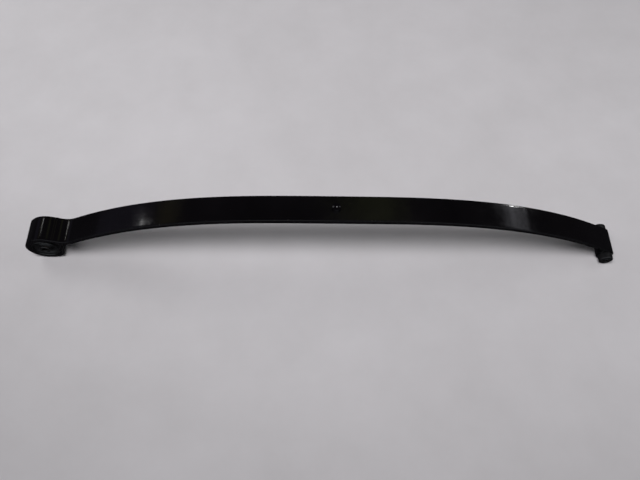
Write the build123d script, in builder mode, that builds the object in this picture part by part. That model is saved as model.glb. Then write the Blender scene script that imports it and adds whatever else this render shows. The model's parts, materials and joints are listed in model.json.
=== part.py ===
"""Single-leaf vehicle spring: one spring leaf with a rolled eye at each end, a large
bonded bush in the front eye, a split rubber bush in the rear (shackle) eye, and the
centre bolt that locates the axle pad.

Frame, in millimetres: X runs along the leaf towards the rear eye, Y across it, Z up.
The origin is the centre of the spring seat, where the centre bolt's axis meets the
leaf's upper face. The leaf stands arched on its two eyes, convex side up.
"""

import os
from math import asin, atan, atan2, cos, dist, hypot, pi, radians, sin, sqrt, tan

from build123d import *

# ---- the leaf ---------------------------------------------------------------------
WIDTH = 62.0
FRONT_ARM = 675.0  # centre bolt to front eye centre, along X
REAR_ARM = 650.0  # centre bolt to rear eye centre, along X
SEAT_HALF = 50.0  # half the length of the flat that the axle pad clamps
SEAT_THICKNESS = 13.5
FRONT_THICKNESS = 10.5  # at the front eye, and the wall of its roll
REAR_THICKNESS = 9.0  # at the rear eye, and the wall of its roll
SEAT_HEIGHT = 178.0  # middle of the leaf above the floor, at the centre bolt
SEAT_SLOPE = -0.014  # the rear eye is the smaller one, so the seat leans to the rear
ARM_POWER = 2.8  # each arm drops as this power of the distance from the seat
EDGE_ROUND = 0.7  # rounded edges of the rolled bar

# ---- the eyes ---------------------------------------------------------------------
FRONT_EYE_RADIUS = 43.0
REAR_EYE_RADIUS = 19.5
FRONT_EYE_LIFT = -11.0  # the arm heads for a point this far above (below, if negative) the eye's centre
REAR_EYE_LIFT = 17.3  # the leaf's upper face runs into the top of the rear roll
ROLL_GAP = 1.2  # slit between a roll's tip and the leaf
REVERSE_BEND = 38.0  # upper face, where the leaf turns up to pass over the front eye
ROLL_OFFSET = (5.5, 4.5)  # the roll opens a little where the arm runs in
ROLL_TIP = radians(320)  # where the front roll stops, round from +X over the top
FIT_GAP = 0.05  # radial clearance where one part turns or slides in another

# ---- front bush: steel can, bonded rubber, inner tube -------------------------------
CAN_WALL = 2.5
CAN_LENGTH = 62.0
FRONT_RUBBER_LENGTH = 60.0
GROOVE_DEPTH = 7.0  # ring groove in each end of the rubber
GROOVE_LAND = 2.0  # flat left on each side of the groove
FRONT_TUBE_RADIUS = 13.0
FRONT_TUBE_BORE = 7.05  # clears an M14 bolt
FRONT_TUBE_LENGTH = 66.0

# ---- rear bush: two shouldered rubber halves on one tube ----------------------------
SHOULDER_RADIUS = 16.0
SHOULDER_GAP = 0.3  # between a shoulder and the side of the eye
SHOULDER_LENGTH = 14.7
SHOULDER_ROUND = 2.5
BARREL_START = 0.6  # the halves stop this far from the middle of the eye
REAR_TUBE_RADIUS = 7.2
REAR_TUBE_BORE = 5.25  # clears an M10 bolt
REAR_TUBE_LENGTH = 94.0

# ---- centre bolt and nut -------------------------------------------------------------
BOLT_RADIUS = 5.0
BOLT_HOLE_RADIUS = 5.2
HEAD_RADIUS = 9.5
HEAD_WALL = 5.5  # the round side of the head locates the axle pad
HEAD_DOME = 1.5
NUT_ACROSS_FLATS = 17.0
NUT_HEIGHT = 8.4
BOLT_END = 3.0  # thread standing out of the nut
SPOT_FACE_RADIUS = 10.5  # shallow round seats in the leaf, square to the bolt
SPOT_FACE_DEPTH = 0.25
HEAD_WASHER_FACE = 9.0  # raised ring under the head, which sits in its spot face
NUT_WASHER_FACE = 8.2
TUBE_CHAMFER = 0.8

# ---- derived places ----------------------------------------------------------------
SEAT_ANGLE = atan(SEAT_SLOPE)
MID_HEIGHT = -SEAT_THICKNESS / 2 / cos(SEAT_ANGLE)
FLOOR = MID_HEIGHT - SEAT_HEIGHT
FRONT_EYE = (-FRONT_ARM, FLOOR + FRONT_EYE_RADIUS)
REAR_EYE = (REAR_ARM, FLOOR + REAR_EYE_RADIUS)
FRONT_BORE = FRONT_EYE_RADIUS - FRONT_THICKNESS
REAR_BORE = REAR_EYE_RADIUS - REAR_THICKNESS
SEAT_NORMAL = (-sin(SEAT_ANGLE), 0, cos(SEAT_ANGLE))
ALONG_SEAT = (cos(SEAT_ANGLE), 0, sin(SEAT_ANGLE))
SEAT = Plane(origin=(0, 0, 0), x_dir=ALONG_SEAT, z_dir=SEAT_NORMAL)
SEAT_SECTION = Plane(origin=(0, 0, 0), x_dir=ALONG_SEAT, z_dir=(0, -1, 0))
BOLT_AXIS = Axis((0, 0, 0), SEAT_NORMAL)


# ---- shape of the leaf ---------------------------------------------------------------
def arm_at(x):
    """Length, thickness at the eye, and drop of the arm that x lies on."""
    if x < 0:
        eye_end = FRONT_EYE[1] + FRONT_EYE_LIFT
        return FRONT_ARM, FRONT_THICKNESS, MID_HEIGHT - SEAT_SLOPE * FRONT_ARM - eye_end
    eye_end = REAR_EYE[1] + REAR_EYE_LIFT
    return REAR_ARM, REAR_THICKNESS, MID_HEIGHT + SEAT_SLOPE * REAR_ARM - eye_end


def share_of_arm(x):
    """0 on the seat, 1 at the eye."""
    length, _, _ = arm_at(x)
    return max(0.0, (abs(x) - SEAT_HALF) / (length - SEAT_HALF))


def mid_line(x):
    """Height of the middle of the leaf at x."""
    _, _, drop = arm_at(x)
    return MID_HEIGHT + SEAT_SLOPE * x - drop * share_of_arm(x) ** ARM_POWER


def leaf_angle(x):
    """Slope of the mid-line at x, in radians."""
    step = 0.01
    return atan2(mid_line(x + step) - mid_line(x - step), 2 * step)


def leaf_thickness(x):
    """Full over the seat, then tapering evenly to the eye."""
    _, at_eye, _ = arm_at(x)
    return SEAT_THICKNESS + (at_eye - SEAT_THICKNESS) * share_of_arm(x)


def face_point(x, side):
    """Point of the upper (side=1) or lower (side=-1) face, square to the mid-line at x."""
    reach = side * leaf_thickness(x) / 2
    angle = leaf_angle(x)
    return (x - reach * sin(angle), mid_line(x) + reach * cos(angle))


def arm_curve(x_from, x_to, side, points=9):
    """Smooth face of one arm, from x_from to x_to."""
    steps = [x_from + (x_to - x_from) * n / (points - 1) for n in range(points)]
    heading = 1 if x_to > x_from else -1
    ends = [leaf_angle(steps[0]), leaf_angle(steps[-1])]
    Spline(
        *[face_point(x, side) for x in steps],
        tangents=[(heading * cos(a), heading * sin(a)) for a in ends],
    )


def foot_of(centre, x):
    """x at which the mid-line passes nearest to an eye's centre."""
    for _ in range(20):
        angle = leaf_angle(x)
        off = (centre[0] - x, centre[1] - mid_line(x))
        x += (off[0] * cos(angle) + off[1] * sin(angle)) * cos(angle)
    return x


REAR_END = foot_of(REAR_EYE, REAR_ARM)


def eye_corners(centre, crossing, arm_side, corners):
    """Corners given along and square to the leaf where it crosses the wall of an eye."""
    angle = leaf_angle(crossing)
    along = (arm_side * cos(angle), arm_side * sin(angle))
    up = (-sin(angle), cos(angle))
    return [
        (centre[0] + a * along[0] + u * up[0], centre[1] + a * along[1] + u * up[1])
        for a, u in corners
    ]


def height_of_face(centre, crossing, side):
    """How far a face of the leaf passes above the centre of an eye."""
    angle = leaf_angle(crossing)
    face = face_point(crossing, side)
    return (centre[0] - face[0]) * sin(angle) + (face[1] - centre[1]) * cos(angle)


# The leaf turns up over the front eye, goes down and round, and stops underneath.
def on_circle(centre, radius, angle):
    return (centre[0] + radius * cos(angle), centre[1] + radius * sin(angle))


ROLL_START = (FRONT_EYE[0] + ROLL_OFFSET[0], FRONT_EYE[1] + ROLL_OFFSET[1])
ROLL_SHIFT = atan2(ROLL_OFFSET[1], ROLL_OFFSET[0]) + pi / 2


def bend_centre(x):
    """Centre of the reverse bend that leaves the arm's upper face at x."""
    point = face_point(x, 1)
    angle = leaf_angle(x)
    return (point[0] - REVERSE_BEND * sin(angle), point[1] + REVERSE_BEND * cos(angle))


# The reverse bend leaves the arm at FRONT_END, where it just touches the roll.
near_x = FRONT_EYE[0] + 30
far_x = FRONT_EYE[0] + 130
for _ in range(60):
    FRONT_END = (near_x + far_x) / 2
    reach = dist(bend_centre(FRONT_END), ROLL_START)
    if reach > FRONT_EYE_RADIUS + REVERSE_BEND:
        far_x = FRONT_END
    else:
        near_x = FRONT_END
bend = bend_centre(FRONT_END)
MEETS_BEND = atan2(bend[1] - ROLL_START[1], bend[0] - ROLL_START[0])
BEND_MIDDLE = (MEETS_BEND + pi + leaf_angle(FRONT_END) + 3 * pi / 2) / 2


def roll_side(radius):
    """Points along one side of the front roll, from the reverse bend to the tip."""
    turn = (MEETS_BEND + ROLL_SHIFT) / 2
    half_way = (ROLL_SHIFT + ROLL_TIP) / 2
    return [
        on_circle(ROLL_START, radius, MEETS_BEND),
        on_circle(ROLL_START, radius, turn),
        on_circle(ROLL_START, radius, ROLL_SHIFT),
        on_circle(FRONT_EYE, radius, ROLL_SHIFT),
        on_circle(FRONT_EYE, radius, half_way),
        on_circle(FRONT_EYE, radius, ROLL_TIP),
    ]


# The rear roll goes down and round: its square-cut tip stops just below the leaf.
rear_face = height_of_face(REAR_EYE, REAR_END, -1)
rear_top = height_of_face(REAR_EYE, REAR_END, 1)
meets_roll = sqrt(REAR_EYE_RADIUS**2 - rear_top**2)
tip_angle = asin((rear_face - ROLL_GAP) / REAR_EYE_RADIUS)
rear_slit = [
    (meets_roll, meets_roll * tan(tip_angle)),
    (2 * REAR_EYE_RADIUS, 2 * REAR_EYE_RADIUS * tan(tip_angle)),
    (2 * REAR_EYE_RADIUS, 2 * REAR_EYE_RADIUS),
    (meets_roll, 2 * REAR_EYE_RADIUS),
    (meets_roll, rear_top),
]
REAR_SLIT = eye_corners(REAR_EYE, REAR_END, -1, rear_slit)


# ---- main leaf -----------------------------------------------------------------------
with BuildPart() as main_leaf:
    with BuildSketch(Plane.XZ) as profile:
        with Locations(REAR_EYE):
            Circle(REAR_EYE_RADIUS)
        with BuildLine():
            Polyline(*REAR_SLIT[:4], close=True)
        make_face(mode=Mode.SUBTRACT)
        with BuildLine():
            arm_curve(FRONT_END, -SEAT_HALF, 1)
            Line(face_point(-SEAT_HALF, 1), face_point(SEAT_HALF, 1))
            arm_curve(SEAT_HALF, REAR_END, 1)
            Line(face_point(REAR_END, 1), face_point(REAR_END, -1))
            arm_curve(REAR_END, SEAT_HALF, -1)
            Line(face_point(SEAT_HALF, -1), face_point(-SEAT_HALF, -1))
            arm_curve(-SEAT_HALF, FRONT_END, -1)
            angle = leaf_angle(FRONT_END)
            inside = roll_side(FRONT_BORE)
            outside = roll_side(FRONT_EYE_RADIUS)
            Spline(
                face_point(FRONT_END, -1),
                inside[0],
                tangents=[(-cos(angle), -sin(angle)), (-sin(MEETS_BEND), cos(MEETS_BEND))],
            )
            ThreePointArc(*inside[:3])
            Line(inside[2], inside[3])
            ThreePointArc(*inside[3:])
            Line(inside[5], outside[5])
            ThreePointArc(*outside[:2:-1])
            Line(outside[3], outside[2])
            ThreePointArc(*outside[2::-1])
            ThreePointArc(outside[0], on_circle(bend, REVERSE_BEND, BEND_MIDDLE), face_point(FRONT_END, 1))
        make_face()
        with Locations(REAR_EYE):
            Circle(REAR_BORE, mode=Mode.SUBTRACT)
    extrude(amount=WIDTH / 2, both=True)
    sides = main_leaf.faces().filter_by(Axis.Y)
    fillet(sides.edges(), EDGE_ROUND)
    with BuildSketch(SEAT):
        Circle(BOLT_HOLE_RADIUS)
    extrude(amount=SEAT_THICKNESS * 1.2, both=True, mode=Mode.SUBTRACT)
    with BuildSketch(SEAT.offset(-SPOT_FACE_DEPTH)):
        Circle(SPOT_FACE_RADIUS)
    extrude(amount=2, mode=Mode.SUBTRACT)
    with BuildSketch(SEAT.offset(SPOT_FACE_DEPTH - SEAT_THICKNESS)):
        Circle(SPOT_FACE_RADIUS)
    extrude(amount=-2, mode=Mode.SUBTRACT)
main_leaf.part.label = "main_leaf"


# ---- bushes: every piece is turned about the axis of its eye ---------------------------
def section_through(centre):
    """Plane through an eye's axis: local X is the radius, local Y runs across the leaf."""
    return Plane(origin=(centre[0], 0, centre[1]), x_dir=(1, 0, 0), z_dir=(0, 0, 1))


def axis_of(centre):
    return Axis((centre[0], 0, centre[1]), (0, 1, 0))


def tube_section(inner, outer, length, chamfer_size):
    """Section of a plain tube with all four edges chamfered."""
    middle = (inner + outer) / 2
    with Locations((middle, 0)):
        section = Rectangle(outer - inner, length)
    chamfer(section.vertices(), chamfer_size)


CAN_RADIUS = FRONT_BORE - FIT_GAP
RUBBER_RADIUS = CAN_RADIUS - CAN_WALL

with BuildPart() as front_bush_can:
    with BuildSketch(section_through(FRONT_EYE)):
        tube_section(RUBBER_RADIUS, CAN_RADIUS, CAN_LENGTH, TUBE_CHAMFER)
    revolve(axis=axis_of(FRONT_EYE))
front_bush_can.part.label = "front_bush_can"

with BuildPart() as front_bush_rubber:
    half = FRONT_RUBBER_LENGTH / 2
    inner = FRONT_TUBE_RADIUS + FIT_GAP
    groove_in = inner + GROOVE_LAND
    groove_out = RUBBER_RADIUS - GROOVE_LAND
    groove_mid = (groove_in + groove_out) / 2
    with BuildSketch(section_through(FRONT_EYE)):
        with BuildLine():
            for end in (1, -1):
                Line((inner, end * half), (groove_in, end * half))
                ThreePointArc(
                    (groove_in, end * half),
                    (groove_mid, end * (half - GROOVE_DEPTH)),
                    (groove_out, end * half),
                )
                Line((groove_out, end * half), (RUBBER_RADIUS, end * half))
            Line((inner, half), (inner, -half))
            Line((RUBBER_RADIUS, half), (RUBBER_RADIUS, -half))
        make_face()
    revolve(axis=axis_of(FRONT_EYE))
front_bush_rubber.part.label = "front_bush_rubber"

with BuildPart() as front_bush_tube:
    with BuildSketch(section_through(FRONT_EYE)):
        tube_section(FRONT_TUBE_BORE, FRONT_TUBE_RADIUS, FRONT_TUBE_LENGTH, TUBE_CHAMFER)
    revolve(axis=axis_of(FRONT_EYE))
front_bush_tube.part.label = "front_bush_tube"


def half_bush_corners(side):
    """Corners of one rear bush half: a barrel in the eye and a shoulder beside it."""
    hole = REAR_TUBE_RADIUS + FIT_GAP
    barrel = REAR_BORE - FIT_GAP
    shoulder = WIDTH / 2 + SHOULDER_GAP
    tip = shoulder + SHOULDER_LENGTH
    return [
        (hole, side * BARREL_START),
        (barrel, side * BARREL_START),
        (barrel, side * shoulder),
        (SHOULDER_RADIUS, side * shoulder),
        (SHOULDER_RADIUS, side * tip),
        (hole, side * tip),
    ]


with BuildPart() as rear_bush_near:
    corners = half_bush_corners(-1)
    with BuildSketch(section_through(REAR_EYE)) as near_section:
        with BuildLine():
            Polyline(*corners, close=True)
        make_face()
        tip_corner = near_section.vertices().sort_by_distance((*corners[4], 0))[0]
        fillet(tip_corner, SHOULDER_ROUND)
    revolve(axis=axis_of(REAR_EYE))
rear_bush_near.part.label = "rear_bush_near"

with BuildPart() as rear_bush_far:
    corners = half_bush_corners(1)
    with BuildSketch(section_through(REAR_EYE)) as far_section:
        with BuildLine():
            Polyline(*corners, close=True)
        make_face()
        tip_corner = far_section.vertices().sort_by_distance((*corners[4], 0))[0]
        fillet(tip_corner, SHOULDER_ROUND)
    revolve(axis=axis_of(REAR_EYE))
rear_bush_far.part.label = "rear_bush_far"

with BuildPart() as rear_bush_tube:
    with BuildSketch(section_through(REAR_EYE)):
        tube_section(REAR_TUBE_BORE, REAR_TUBE_RADIUS, REAR_TUBE_LENGTH, TUBE_CHAMFER / 2)
    revolve(axis=axis_of(REAR_EYE))
rear_bush_tube.part.label = "rear_bush_tube"

# ---- centre bolt and nut ---------------------------------------------------------------
with BuildPart() as centre_bolt:
    end = -(SEAT_THICKNESS + NUT_HEIGHT + BOLT_END)
    with BuildSketch(SEAT_SECTION):
        with BuildLine():
            Polyline(
                (0, HEAD_WALL + HEAD_DOME),
                (0, end),
                (BOLT_RADIUS - TUBE_CHAMFER, end),
                (BOLT_RADIUS, end + TUBE_CHAMFER),
                (BOLT_RADIUS, -SPOT_FACE_DEPTH),
                (HEAD_WASHER_FACE, -SPOT_FACE_DEPTH),
                (HEAD_WASHER_FACE, 0),
                (HEAD_RADIUS, 0),
                (HEAD_RADIUS, HEAD_WALL),
            )
            dome_reach = (HEAD_RADIUS**2 - HEAD_DOME**2) / (2 * HEAD_DOME)
            dome_radius = hypot(HEAD_RADIUS, dome_reach)
            RadiusArc((HEAD_RADIUS, HEAD_WALL), (0, HEAD_WALL + HEAD_DOME), -dome_radius)
        make_face()
    revolve(axis=BOLT_AXIS)
centre_bolt.part.label = "centre_bolt"

with BuildPart() as centre_nut:
    with BuildSketch(SEAT.offset(-SEAT_THICKNESS)):
        RegularPolygon(NUT_ACROSS_FLATS / 2, 6, major_radius=False)
        Circle(BOLT_RADIUS, mode=Mode.SUBTRACT)
    extrude(amount=-NUT_HEIGHT)
    corner = NUT_ACROSS_FLATS / 3**0.5
    bevel = corner - NUT_ACROSS_FLATS / 2
    with BuildSketch(SEAT_SECTION):
        with BuildLine():
            Polyline(
                (0, -SEAT_THICKNESS),
                (NUT_ACROSS_FLATS / 2, -SEAT_THICKNESS),
                (corner, -SEAT_THICKNESS - bevel / 2),
                (corner, -SEAT_THICKNESS - NUT_HEIGHT + bevel / 2),
                (NUT_ACROSS_FLATS / 2, -SEAT_THICKNESS - NUT_HEIGHT),
                (0, -SEAT_THICKNESS - NUT_HEIGHT),
                close=True,
            )
        make_face()
    revolve(axis=BOLT_AXIS, mode=Mode.INTERSECT)
    with BuildSketch(SEAT.offset(SPOT_FACE_DEPTH - SEAT_THICKNESS)):
        Circle(NUT_WASHER_FACE)
        Circle(BOLT_RADIUS, mode=Mode.SUBTRACT)
    extrude(amount=-2 * SPOT_FACE_DEPTH)
centre_nut.part.label = "centre_nut"

# ---- one file for each piece --------------------------------------------------------------
os.makedirs("parts", exist_ok=True)
export_step(main_leaf.part, "parts/main_leaf.step")
export_step(front_bush_can.part, "parts/front_bush_can.step")
export_step(front_bush_rubber.part, "parts/front_bush_rubber.step")
export_step(front_bush_tube.part, "parts/front_bush_tube.step")
export_step(rear_bush_near.part, "parts/rear_bush_near.step")
export_step(rear_bush_far.part, "parts/rear_bush_far.step")
export_step(rear_bush_tube.part, "parts/rear_bush_tube.step")
export_step(centre_bolt.part, "parts/centre_bolt.step")
export_step(centre_nut.part, "parts/centre_nut.step")
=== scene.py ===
import json
from math import atan2, cos, pi, radians, sin

import bmesh
import bpy
from mathutils import Matrix, Vector
from mathutils.bvhtree import BVHTree


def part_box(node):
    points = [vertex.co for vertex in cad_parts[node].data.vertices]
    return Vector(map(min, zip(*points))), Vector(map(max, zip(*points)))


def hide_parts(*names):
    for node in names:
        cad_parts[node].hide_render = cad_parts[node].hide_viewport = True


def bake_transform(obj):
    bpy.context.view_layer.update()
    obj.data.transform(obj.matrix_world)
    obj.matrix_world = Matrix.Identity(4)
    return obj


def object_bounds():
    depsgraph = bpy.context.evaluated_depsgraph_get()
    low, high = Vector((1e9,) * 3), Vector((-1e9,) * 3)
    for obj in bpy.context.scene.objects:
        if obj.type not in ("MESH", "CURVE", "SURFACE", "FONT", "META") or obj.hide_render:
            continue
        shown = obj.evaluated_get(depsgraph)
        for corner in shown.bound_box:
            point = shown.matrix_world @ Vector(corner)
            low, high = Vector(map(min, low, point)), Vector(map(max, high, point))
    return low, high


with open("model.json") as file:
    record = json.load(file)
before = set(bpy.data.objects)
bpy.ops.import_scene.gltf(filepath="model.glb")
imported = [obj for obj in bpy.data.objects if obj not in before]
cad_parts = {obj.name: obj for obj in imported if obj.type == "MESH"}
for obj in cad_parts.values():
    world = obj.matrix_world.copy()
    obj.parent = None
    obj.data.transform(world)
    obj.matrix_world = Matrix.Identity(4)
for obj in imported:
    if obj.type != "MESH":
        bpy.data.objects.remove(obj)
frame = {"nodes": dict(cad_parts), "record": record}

cad_low, cad_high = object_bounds()
mounts = {m["name"]: m for m in frame["record"]["mounts"]}

FLOOR_Z = cad_low[2]
FLOOR_MIDDLE = Vector((0, 0, FLOOR_Z))
FRONT_EYE = Vector(mounts["front_pivot"]["pos_m"])
REAR_EYE = Vector(mounts["rear_pivot"]["pos_m"])
LEAF_LOW, LEAF_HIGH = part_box("main_leaf")
HALF_WIDTH = LEAF_HIGH.y


def add_object(name, data):
    item = bpy.data.objects.new(name, data)
    bpy.context.scene.collection.objects.link(item)
    return item


# ---------------------------------------------------------------- camera
ELEVATION = radians(63.19)
TURN = radians(1.79)
ROLL = radians(1.77)
DISTANCE = 1.42004
LOOK_AT = Vector((-0.03353, 0.0, FLOOR_Z + 0.0331))
SENSOR_WIDTH = 36.0
LENS = 33.449


def place_camera():
    """A level camera in front of the leaf, looking down at it, then rolled a little."""
    forward = Vector((cos(ELEVATION) * sin(TURN), cos(ELEVATION) * cos(TURN), -sin(ELEVATION)))
    right = Vector((cos(TURN), -sin(TURN), 0.0))
    up = right.cross(forward)
    right_rolled = cos(ROLL) * right + sin(ROLL) * up
    up_rolled = cos(ROLL) * up - sin(ROLL) * right
    axes = Matrix((right_rolled, up_rolled, -forward)).transposed()
    data = bpy.data.cameras.new("camera")
    data.sensor_width = SENSOR_WIDTH
    data.lens = LENS
    camera = add_object("camera", data)
    camera.matrix_world = Matrix.Translation(LOOK_AT - DISTANCE * forward) @ axes.to_4x4()
    bpy.context.scene.camera = camera


place_camera()
bpy.context.scene.view_settings.view_transform = "Standard"


# ---------------------------------------------------------------- node helpers
class Nodes:
    """A node tree with short calls for the nodes used here."""

    def __init__(self, tree):
        self.tree = tree

    def add(self, kind, sockets=None, **settings):
        """A new node. A socket takes a number, a vector, a colour or another node's output."""
        node = self.tree.nodes.new(kind)
        for key, value in settings.items():
            setattr(node, key, value)
        for key, value in (sockets or {}).items():
            self.link(value, node.inputs[key])
        return node

    def link(self, value, socket):
        if isinstance(value, bpy.types.NodeSocket):
            self.tree.links.new(value, socket)
        else:
            socket.default_value = value

    def math(self, operation, a, b):
        return self.add("ShaderNodeMath", {0: a, 1: b}, operation=operation).outputs[0]

    def mix(self, share, a, b, blend_type="MIX"):
        sockets = {"Factor": share, "A": a, "B": b}
        node = self.add("ShaderNodeMix", sockets, data_type="RGBA", blend_type=blend_type)
        return node.outputs["Result"]

    def ramp(self, value, low, high, start=0.0, end=1.0, interpolation_type="LINEAR"):
        """Value from low to high, mapped to start to end."""
        sockets = {"Value": value, "From Min": low, "From Max": high, "To Min": start, "To Max": end}
        node = self.add("ShaderNodeMapRange", sockets, interpolation_type=interpolation_type)
        return node.outputs["Result"]


class Shader(Nodes):
    """A new material. Noise scales are per metre, and bump distances are in metres."""

    def __init__(self, name):
        self.material = bpy.data.materials.new(name)
        self.material.use_nodes = True
        super().__init__(self.material.node_tree)
        self.bsdf = self.tree.nodes["Principled BSDF"]
        self.place = self.add("ShaderNodeTexCoord").outputs["Object"]

    def surface(self, name, value):
        """Sets or links one of the surface's own sockets."""
        self.link(value, self.bsdf.inputs[name])

    def noise(self, scale, detail=3.0, rough=0.5, vector=None):
        sockets = {"Scale": scale, "Detail": detail, "Roughness": rough, "Vector": vector or self.place}
        return self.add("ShaderNodeTexNoise", sockets).outputs["Fac"]

    def mapped(self, **sockets):
        """The place in the object, shifted or stretched."""
        return self.add("ShaderNodeMapping", {"Vector": self.place, **sockets}).outputs["Vector"]

    def attribute(self, name):
        return self.add("ShaderNodeAttribute", attribute_name=name).outputs["Fac"]

    def bump(self, height, strength, distance, under=None):
        sockets = {"Height": height, "Strength": strength, "Distance": distance}
        if under is not None:
            sockets["Normal"] = under
        return self.add("ShaderNodeBump", sockets).outputs["Normal"]


def colour(r, g, b):
    return (r, g, b, 1.0)


# ---------------------------------------------------------------- materials
COAT_IOR = 1.5
PAINT_BLACK = colour(0.0014, 0.0011, 0.0015)
PAINT_CLOUD = colour(0.0030, 0.0025, 0.0031)
PAINT_DUST = colour(0.06, 0.055, 0.05)
CHIP_STEEL = colour(0.09, 0.085, 0.08)
CHIP_RUST = colour(0.07, 0.04, 0.025)
PAINT_GLOSS = (0.07, 0.17)
CHIP_ROUGHNESS = 0.42
TUBE_COAT = colour(0.006, 0.006, 0.0065)
TUBE_STEEL = colour(0.10, 0.10, 0.10)
TUBE_RUST = colour(0.07, 0.035, 0.018)
RUBBED_STEEL = colour(0.10, 0.095, 0.09)
CAN_SHADE = 0.004
RUBBER_SPREAD = 0.22
CAD_SHARP_ANGLE = radians(35)

# Painted glints on the bolt's head: bright spots put into the paint's colour, drawn as paint worn through
# to metal. Position, radius, shade of the spot.
HEAD_GLINT_SPOTS = (
    ((-0.0070, 0.0010, 0.0062), 0.0026, 0.050),
    ((0.0006, 0.0002, 0.0070), 0.0017, 0.260),
    ((0.0068, 0.0012, 0.0062), 0.0021, 0.040),
)


def gloss_black_paint(name, worn_edges=False, spots=()):
    """Thick gloss black paint, with orange peel, faint runs, dust and chips down to dull steel."""
    s = Shader(name)
    s.surface("IOR", COAT_IOR)
    black = s.mix(s.ramp(s.noise(9.0, 4.0), 0.35, 0.7), PAINT_BLACK, PAINT_CLOUD)
    dust = s.ramp(s.noise(420.0, 5.0, 0.7), 0.62, 0.84, 0.0, 0.05)
    painted = s.mix(dust, black, PAINT_DUST)
    chips = s.math("GREATER_THAN", s.noise(170.0, 6.0, 0.72), 0.735)
    if worn_edges:
        speckle = s.noise(260.0, 6.0, 0.75)
        near_edge = s.math("ADD", speckle, s.math("MULTIPLY", s.attribute("edge"), 0.07))
        chips = s.math("MAXIMUM", chips, s.math("GREATER_THAN", near_edge, 0.72))
    steel = s.mix(s.ramp(s.noise(60.0, 4.0), 0.4, 0.62), CHIP_STEEL, CHIP_RUST)
    look = s.mix(chips, painted, steel)
    # Painted highlights: each glint spot brightens the colour and roughens the paint there, like bared
    # metal.
    for place, radius, shade in spots:
        away = s.add("ShaderNodeVectorMath", {0: s.place, 1: place}, operation="DISTANCE")
        bare = s.ramp(away.outputs["Value"], radius * 0.6, radius, 1.0, 0.0)
        look = s.mix(bare, look, colour(shade, shade, shade * 1.04))
        chips = s.math("MAXIMUM", chips, bare)
    s.surface("Base Color", look)
    gloss = s.ramp(s.noise(23.0, 5.0, 0.6), 0.3, 0.75, *PAINT_GLOSS)
    s.surface("Roughness", s.math("MAXIMUM", gloss, s.math("MULTIPLY", chips, CHIP_ROUGHNESS)))
    peel = s.bump(s.noise(330.0, 2.0), 0.10, 0.00035)
    runs = s.bump(s.noise(38.0, 3.0, 0.5, s.mapped(Scale=(0.6, 1.0, 1.0))), 0.30, 0.0012, peel)
    s.surface("Normal", s.bump(s.math("SUBTRACT", 1.0, chips), 0.3, 0.00012, runs))
    return s.material


def moulded_rubber(name, shade, roughness):
    """Black rubber with a fine mould grain and a greyish bloom in patches."""
    s = Shader(name)
    s.surface("IOR", COAT_IOR)
    bloom = s.ramp(s.noise(55.0, 5.0, 0.65), 0.42, 0.75)
    black = colour(shade, shade, shade * 1.05)
    grey = colour(shade * 2.6, shade * 2.6, shade * 2.7)
    s.surface("Base Color", s.mix(bloom, black, grey))
    patches = s.ramp(s.noise(110.0, 4.0), 0.3, 0.7, roughness, roughness + RUBBER_SPREAD)
    s.surface("Roughness", patches)
    grain = s.bump(s.noise(1500.0, 3.0), 0.35, 0.00012)
    s.surface("Normal", s.bump(s.noise(170.0, 3.0), 0.25, 0.0004, grain))
    return s.material


def painted_tube(name, centre):
    """Turned steel under a thin black coat: rings about the tube's own axis, worn through in spots."""
    s = Shader(name)
    s.surface("IOR", COAT_IOR)
    from_axis = s.mapped(Location=(-centre.x, 0.0, -centre.z))
    wave = s.add(
        "ShaderNodeTexWave",
        {"Scale": 900.0, "Distortion": 1.2, "Vector": from_axis},
        wave_type="RINGS",
        rings_direction="Y",
    )
    worn = s.ramp(s.noise(240.0, 5.0, 0.7), 0.56, 0.66)
    bare = s.mix(s.ramp(s.noise(90.0, 4.0), 0.4, 0.65), TUBE_STEEL, TUBE_RUST)
    s.surface("Base Color", s.mix(worn, TUBE_COAT, bare))
    s.surface("Roughness", s.ramp(worn, 0.0, 1.0, 0.22, 0.45))
    s.surface("Normal", s.bump(wave.outputs["Fac"], 0.12, 0.0001))
    return s.material


def coated_steel(name, shade):
    """Black coated steel with rubbed spots."""
    s = Shader(name)
    s.surface("IOR", COAT_IOR)
    rubbed = s.ramp(s.noise(190.0, 6.0, 0.7), 0.58, 0.72)
    s.surface("Base Color", s.mix(rubbed, colour(shade, shade, shade), RUBBED_STEEL))
    s.surface("Roughness", s.ramp(rubbed, 0.0, 1.0, 0.24, 0.45))
    s.surface("Normal", s.bump(s.noise(300.0, 3.0), 0.2, 0.0003))
    return s.material


def dress(material, *nodes):
    """Gives CAD nodes their material, smooth across round faces and sharp at edges."""
    for node in nodes:
        mesh = frame["nodes"][node].data
        mesh.materials.clear()
        mesh.materials.append(material)
        for face in mesh.polygons:
            face.use_smooth = True
        mesh.set_sharp_from_angle(angle=CAD_SHARP_ANGLE)


LEAF_PAINT = gloss_black_paint("leaf_paint", worn_edges=True)
dress(gloss_black_paint("bolt_paint", spots=HEAD_GLINT_SPOTS), "centre_bolt", "centre_nut")
dress(coated_steel("can_steel", CAN_SHADE), "front_bush_can")
dress(moulded_rubber("front_rubber", shade=0.0035, roughness=0.42), "front_bush_rubber")
dress(moulded_rubber("rear_rubber", shade=0.005, roughness=0.30), "rear_bush_near", "rear_bush_far")
dress(painted_tube("front_tube_steel", FRONT_EYE), "front_bush_tube")
dress(painted_tube("rear_tube_steel", REAR_EYE), "rear_bush_tube")

# ---------------------------------------------------------------- the leaf, as it was rolled
# Lengths are in metres. The CAD leaf is measured beside its bolt hole, ASIDE from the middle.
ASIDE = 0.015
RAY_START = 0.05
JUST_INSIDE = 0.0005
SLOPE_STEP = 0.004
EDGE_ROUND = 0.0009
LEAF_SHARP_ANGLE = radians(40)
ARM_STEPS = 105

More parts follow.
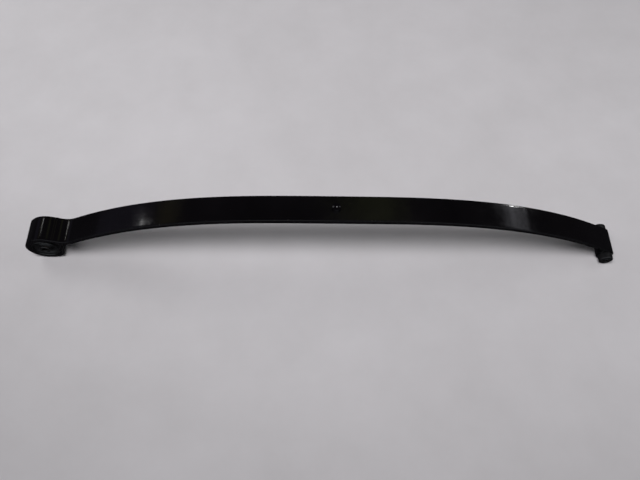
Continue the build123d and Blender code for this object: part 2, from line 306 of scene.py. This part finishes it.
# The front eye: a bend that turns the arm up, then a roll that starts wide and closes on the bush.
REVERSE_BEND = 0.038
REVERSE_BEND_STEPS = 12
BEND_SEARCH = (0.065, 0.13)
HALVINGS = 40
ROLL_OPENING = Vector((0.0055, 0.0, 0.0045))
ROLL_START_STEPS = 20
ROLL_TIP = radians(320.0)
ROLL_STEPS = 64

# The rear eye: the arm stops REAR_JOIN short of the roll's start and runs smoothly into it. The start
# is square to the arm at REAR_ARM_END before the eye's axis, less a small angle in radians.
REAR_ARM_END = 0.012
REAR_ROLL_LEAN = 0.012
REAR_JOIN = 0.024
REAR_JOIN_STEPS = 6
REAR_ROLL_TURN = radians(297.3)
REAR_ROLL_STEPS = 66

cad_leaf = frame["nodes"]["main_leaf"]
leaf_surface = BVHTree.FromPolygons(
    [v.co.copy() for v in cad_leaf.data.vertices],
    [tuple(p.vertices) for p in cad_leaf.data.polygons],
)


def middle(x):
    """Height of the arm's middle at x, and its thickness straight down."""
    down = Vector((0, 0, -1))
    top = leaf_surface.ray_cast(Vector((x, ASIDE, LEAF_HIGH.z + RAY_START)), down)[0].z
    low = leaf_surface.ray_cast(Vector((x, ASIDE, top - JUST_INSIDE)), down)[0].z
    return (top + low) / 2, top - low


def slope_at(x):
    rise = middle(x + SLOPE_STEP)[0] - middle(x - SLOPE_STEP)[0]
    return atan2(rise, 2 * SLOPE_STEP)


def eye_wall(eye, outer, way):
    """Thickness of an eye's wall, and the radius of the wall's middle."""
    inner = leaf_surface.ray_cast(eye + Vector((0, ASIDE, 0)), Vector((way, 0, 0)))[3]
    wall = outer - inner
    return wall, inner + wall / 2


class Station:
    """One cross-section of the bar: its middle, the way its upper face looks, its thickness."""

    def __init__(self, x, z, angle, thickness):
        self.x, self.z, self.thickness = x, z, thickness
        self.normal = Vector((cos(angle), 0.0, sin(angle)))


def arm_station(x):
    z, tall = middle(x)
    slope = slope_at(x)
    return Station(x, z, slope + pi / 2, tall * cos(slope))


def roll_station(centre, radius, angle, wall):
    return Station(centre.x + radius * cos(angle), centre.z + radius * sin(angle), angle, wall)


def spread(start, end, count):
    return [start + (end - start) * i / count for i in range(count + 1)]


def front_stations():
    """Seat and front arm, up over the eye, then down and round to a tip underneath."""
    wall, radius = eye_wall(FRONT_EYE, FRONT_EYE.x - LEAF_LOW.x, -1)
    bend = REVERSE_BEND + wall / 2
    roll_start = FRONT_EYE + ROLL_OPENING

    def bend_centre(x):
        z, _ = middle(x)
        slope = slope_at(x)
        return Vector((x - bend * sin(slope), 0, z + bend * cos(slope)))

    # The arm ends where the bend just touches the start of the roll.
    near, far = (FRONT_EYE.x + offset for offset in BEND_SEARCH)
    for _ in range(HALVINGS):
        arm_end = (near + far) / 2
        if (bend_centre(arm_end) - roll_start).length > radius + bend:
            far = arm_end
        else:
            near = arm_end
    turn = bend_centre(arm_end)
    stations = [arm_station(x) for x in spread(0.0, arm_end, ARM_STEPS)]
    arm_thickness = stations[-1].thickness
    reach = turn - roll_start
    meets = atan2(reach.z, reach.x)
    angles = spread(slope_at(arm_end) - pi / 2, meets - pi, REVERSE_BEND_STEPS)[1:]
    for i, a in enumerate(angles, start=1):
        thickness = arm_thickness + (wall - arm_thickness) * i / REVERSE_BEND_STEPS
        stations.append(Station(turn.x + bend * cos(a), turn.z + bend * sin(a), a + pi, thickness))
    # Square to the opening, the wide start of the roll runs straight on into the eye's own circle.
    square = atan2(ROLL_OPENING.z, ROLL_OPENING.x) + pi / 2
    for a in spread(meets, square, ROLL_START_STEPS)[1:]:
        stations.append(roll_station(roll_start, radius, a, wall))
    for a in spread(square, ROLL_TIP, ROLL_STEPS):
        stations.append(roll_station(FRONT_EYE, radius, a, wall))
    return stations


def rear_stations():
    """Seat and rear arm, then down and round the small eye."""
    wall, radius = eye_wall(REAR_EYE, LEAF_HIGH.x - REAR_EYE.x, 1)
    arm_end = REAR_EYE.x - REAR_ARM_END
    begin = slope_at(arm_end) + pi / 2 - REAR_ROLL_LEAN
    first = roll_station(REAR_EYE, radius, begin, wall)
    stations = [arm_station(x) for x in spread(0.0, arm_end, ARM_STEPS)]
    stations = [s for s in stations if s.x < first.x - REAR_JOIN]
    last = stations[-1]
    start = Vector((last.x, 0, last.z))
    goal = Vector((first.x, 0, first.z))
    pull = (goal - start).length / 3
    leave = start + pull * Vector((last.normal.z, 0, -last.normal.x))
    arrive = goal - pull * Vector((first.normal.z, 0, -first.normal.x))
    for t in spread(0.0, 1.0, REAR_JOIN_STEPS)[1:]:
        u = 1 - t
        place = u**3 * start + 3 * t * u**2 * leave + 3 * t * t * u * arrive + t**3 * goal
        look = last.normal.lerp(first.normal, t)
        thickness = last.thickness + (wall - last.thickness) * t
        stations.append(Station(place.x, place.z, atan2(look.z, look.x), thickness))
    for a in spread(begin, begin - REAR_ROLL_TURN, REAR_ROLL_STEPS)[1:]:
        stations.append(roll_station(REAR_EYE, radius, a, wall))
    return stations


# Corners of the bar's section, clockwise: side, top or bottom, and where its round starts in degrees.
CORNERS = ((1, 1, 90), (1, -1, 0), (-1, -1, -90), (-1, 1, -180))
CORNER_STEPS = 5
FACE_STEPS = 10
EDGE_STEPS = 4


def section_outline(half_width, half_thick, corner):
    """(across, up, 1 on a rounded edge) once round a flat bar with rounded edges."""
    points = []
    for k, (side, top, first) in enumerate(CORNERS):
        for angle in spread(first, first - 90, CORNER_STEPS):
            across = side * (half_width - corner) + corner * cos(radians(angle))
            rise = top * (half_thick - corner) + corner * sin(radians(angle))
            points.append((across, rise, 1.0))
        next_side, next_top, _ = CORNERS[(k + 1) % len(CORNERS)]
        if side == next_side:
            target = (next_side * half_width, next_top * (half_thick - corner))
            steps = EDGE_STEPS
        else:
            target = (next_side * (half_width - corner), next_top * half_thick)
            steps = FACE_STEPS
        for t in spread(0.0, 1.0, steps)[1:-1]:
            points.append((across + (target[0] - across) * t, rise + (target[1] - rise) * t, 0.0))
    return points


def sweep_bar(name, stations):
    mesh = bpy.data.meshes.new(name)
    bm = bmesh.new()
    edge_layer = bm.verts.layers.float.new("edge")
    rings = []
    for s in stations:
        ring = []
        for across, rise, worn in section_outline(HALF_WIDTH, s.thickness / 2, EDGE_ROUND):
            vert = bm.verts.new(Vector((s.x, across, s.z)) + rise * s.normal)
            vert[edge_layer] = worn
            ring.append(vert)
        rings.append(ring)
    for one, two in zip(rings, rings[1:]):
        for i in range(len(one)):
            j = (i + 1) % len(one)
            bm.faces.new((one[i], one[j], two[j], two[i]))
    bm.faces.new(rings[0][::-1])
    bm.faces.new(rings[-1])
    bmesh.ops.recalc_face_normals(bm, faces=bm.faces[:])
    bm.to_mesh(mesh)
    bm.free()
    for face in mesh.polygons:
        face.use_smooth = True
    mesh.set_sharp_from_angle(angle=LEAF_SHARP_ANGLE)
    mesh.materials.append(LEAF_PAINT)
    return add_object(name, mesh)


front_half = sweep_bar("leaf_front_half", front_stations())
rear_half = sweep_bar("leaf_rear_half", rear_stations())
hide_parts("main_leaf")
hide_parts("main_leaf")


def bend_between(item):
    """Bakes the half's placement into its mesh."""
    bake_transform(item)


bend_between(front_half)
bend_between(rear_half)

# ---------------------------------------------------------------- floor
FLOOR_HALF_SIZE = 4.0
FLOOR_DARK = colour(0.66, 0.645, 0.66)
FLOOR_PALE = colour(0.73, 0.715, 0.735)


def floor_paint():
    """Pale matt paint with broad clouds."""
    s = Shader("floor_paint")
    wide = s.math("MULTIPLY", s.noise(1.6, 3.0), 0.6)
    fine = s.math("MULTIPLY", s.noise(9.0, 4.0, 0.6), 0.4)
    clouds = s.ramp(s.math("ADD", wide, fine), 0.35, 0.65)
    s.surface("Base Color", s.mix(clouds, FLOOR_DARK, FLOOR_PALE))
    s.surface("Roughness", 0.75)
    s.surface("Normal", s.bump(s.noise(60.0, 3.0), 0.1, 0.001))
    return s.material


floor_mesh = bpy.data.meshes.new("floor")
bm = bmesh.new()
at_floor = Matrix.Translation((0, 0, FLOOR_Z))
bmesh.ops.create_grid(bm, x_segments=2, y_segments=2, size=FLOOR_HALF_SIZE, matrix=at_floor)
bm.to_mesh(floor_mesh)
bm.free()
floor_mesh.materials.append(floor_paint())
floor = add_object("floor", floor_mesh)
floor.visible_glossy = False

# ---------------------------------------------------------------- light
# The room that the gloss paint reflects. A pane lies in a ceiling one unit up, and its numbers are
# its left and right edge, the softness of those two, its near and far edge, and the light it adds.
ROOM_DARK = colour(0.026, 0.025, 0.029)
FRONT_GLOW = colour(0.70, 0.74, 0.80)
PANES = (
    (-2.3, -1.0, 0.25, 0.4, 1.6, colour(0.045, 0.042, 0.066)),
    (-0.86, -0.66, 0.08, 0.5, 0.95, colour(0.10, 0.093, 0.045)),
    (0.10, 0.25, 0.06, 0.4, 0.8, colour(0.105, 0.118, 0.045)),
    (1.05, 1.30, 0.11, 0.55, 1.0, colour(0.82, 0.82, 0.90)),
)
PANE_END_SOFT = 0.1
LOWEST_RISE = 0.05


def dim_room():
    """A dark room with a paler front side and four panes overhead. It shows in gloss but lights nothing."""
    world = bpy.data.worlds.new("studio")
    bpy.context.scene.world = world
    world.use_nodes = True
    room = Nodes(world.node_tree)
    direction = room.add("ShaderNodeTexCoord").outputs["Generated"]
    across, away, rise = room.add("ShaderNodeSeparateXYZ", {0: direction}).outputs
    safe_rise = room.math("MAXIMUM", rise, LOWEST_RISE)
    u = room.math("DIVIDE", across, safe_rise)
    v = room.math("DIVIDE", away, safe_rise)

    def step(value, low, high):
        return room.ramp(value, low, high, interpolation_type="SMOOTHSTEP")

    def between(value, low, high, soft):
        rising = step(value, low - soft, low + soft)
        falling = step(value, high + soft, high - soft)
        return room.math("MULTIPLY", rising, falling)

    front = room.math("MULTIPLY", step(away, 0.1, -0.5), step(rise, 0.0, 0.25))
    light = room.mix(front, ROOM_DARK, FRONT_GLOW, "ADD")
    for left, right, soft, near, far, glow in PANES:
        sides = between(u, left, right, soft)
        ends = between(v, near, far, PANE_END_SOFT)
        light = room.mix(room.math("MULTIPLY", sides, ends), light, glow, "ADD")
    background = world.node_tree.nodes["Background"]
    room.link(light, background.inputs["Color"])
    background.inputs["Strength"].default_value = 1.0
    world.cycles_visibility.diffuse = False


def from_middle(azimuth, elevation, distance):
    """A place seen in that direction, in degrees, from the middle of the floor."""
    azimuth, elevation = radians(azimuth), radians(elevation)
    look = Vector((cos(elevation) * cos(azimuth), cos(elevation) * sin(azimuth), sin(elevation)))
    return FLOOR_MIDDLE + distance * look


def square_lamp(name, place, target, size, power, glint=False, tint=(1.0, 1.0, 1.0)):
    """A square lamp that lights surfaces, or with glint one that only shows in the paint."""
    data = bpy.data.lights.new(name, "AREA")
    data.shape = "SQUARE"
    data.size = size
    data.energy = power
    data.color = tint
    item = add_object(name, data)
    facing = (target - place).to_track_quat("-Z", "Y")
    item.matrix_world = Matrix.Translation(place) @ facing.to_matrix().to_4x4()
    item.visible_glossy = glint
    item.visible_diffuse = not glint


KEY_TARGET = Vector((2.0, 5.0, FLOOR_Z))
KEY_TINT = (1.0, 0.985, 1.0)
LEFT_GLINT = Vector((-1.10, 0.43, FLOOR_Z + 0.785))

dim_room()
square_lamp("key", from_middle(228, 77.4, 3.075), KEY_TARGET, size=1.6, power=97.0, tint=KEY_TINT)
square_lamp("fill_left", from_middle(150, 33, 2.2), FLOOR_MIDDLE, size=0.9, power=6.0)
square_lamp("fill_right", from_middle(14, 33, 2.2), FLOOR_MIDDLE, size=0.9, power=4.5)
square_lamp("lamp_left", LEFT_GLINT, FRONT_EYE, size=0.06, power=0.05, glint=True)
square_lamp("lamp_right", from_middle(33, 30, 2.4), FLOOR_MIDDLE, size=0.06, power=1.0, glint=True)
